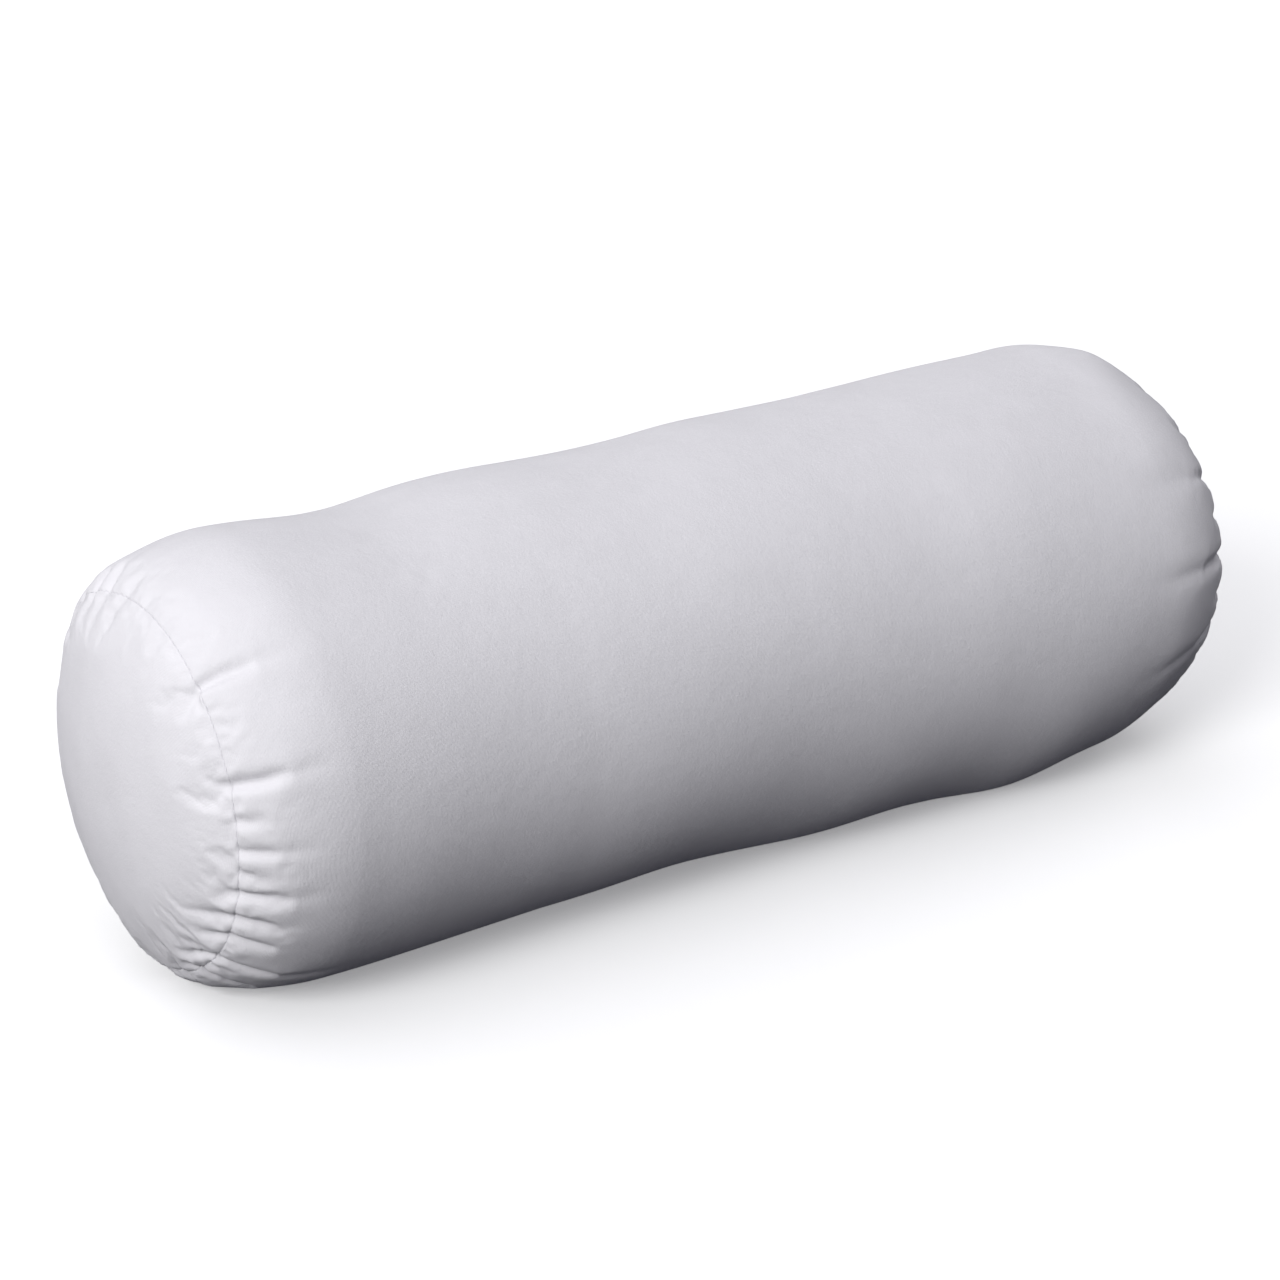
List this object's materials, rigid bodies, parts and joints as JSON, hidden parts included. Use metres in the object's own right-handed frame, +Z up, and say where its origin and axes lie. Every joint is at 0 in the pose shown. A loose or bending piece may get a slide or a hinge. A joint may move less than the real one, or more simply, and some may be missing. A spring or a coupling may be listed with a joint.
{
  "type": "neck roll bolster",
  "caption": "Soft fibre-filled cylindrical neck and massage bolster with domed ends, in a plain removable cover closed by a rear zip.",
  "frame": {"origin": "middle of the footprint, on the surface that the roll rests on", "axes": "+X along the roll, +Y to the rear where the zip is, +Z up"},
  "size_m": [0.51, 0.178, 0.172],
  "materials": {
    "cover_cloth": "fine plain brushed weave",
    "cover_thread": "white spun polyester thread",
    "zip_tape": "woven polyester tape",
    "zip_coil": "white nylon coil",
    "zip_metal": "white baked enamel",
    "label_satin": "satin ribbon, blank",
    "liner_cloth": "spunbond lining",
    "filling": "loose polyester fibre"
  },
  "bodies": {
    "roll": {"cover_body_panel": "cover_cloth", "cover_left_end_panel": "cover_cloth", "cover_right_end_panel": "cover_cloth", "cover_left_seam_thread": "cover_thread", "cover_right_seam_thread": "cover_thread", "back_seam_left_stitching": "cover_thread", "back_seam_right_stitching": "cover_thread", "zip_upper_stitching": "cover_thread", "zip_lower_stitching": "cover_thread", "zip_upper_tape": "zip_tape", "zip_lower_tape": "zip_tape", "zip_upper_teeth": "zip_coil", "zip_lower_teeth": "zip_coil", "zip_top_stops": "zip_metal", "zip_bottom_stop": "zip_metal", "care_label": "label_satin", "liner_body_panel": "liner_cloth", "liner_left_end_panel": "liner_cloth", "liner_right_end_panel": "liner_cloth", "liner_left_seam_thread": "cover_thread", "liner_right_seam_thread": "cover_thread", "liner_closing_stitching": "cover_thread", "fibre_filling": "filling"},
    "slider": {"zip_slider": "zip_metal"},
    "pull": {"zip_pull_tab": "zip_metal"}
  },
  "joints": [
    {"name": "slider_travel", "type": "slide", "parent": "roll", "child": "slider", "axis": [1, 0, 0], "range_m": [0, 0.329], "deforming": ["zip_upper_teeth", "zip_lower_teeth"]},
    {"name": "pull_flip", "type": "hinge", "parent": "slider", "child": "pull", "pos_m": [-0.1702, 0.08482, 0.12076], "axis": [0, -0.4067, 0.9135], "range_deg": [0, 170]}
  ]
}
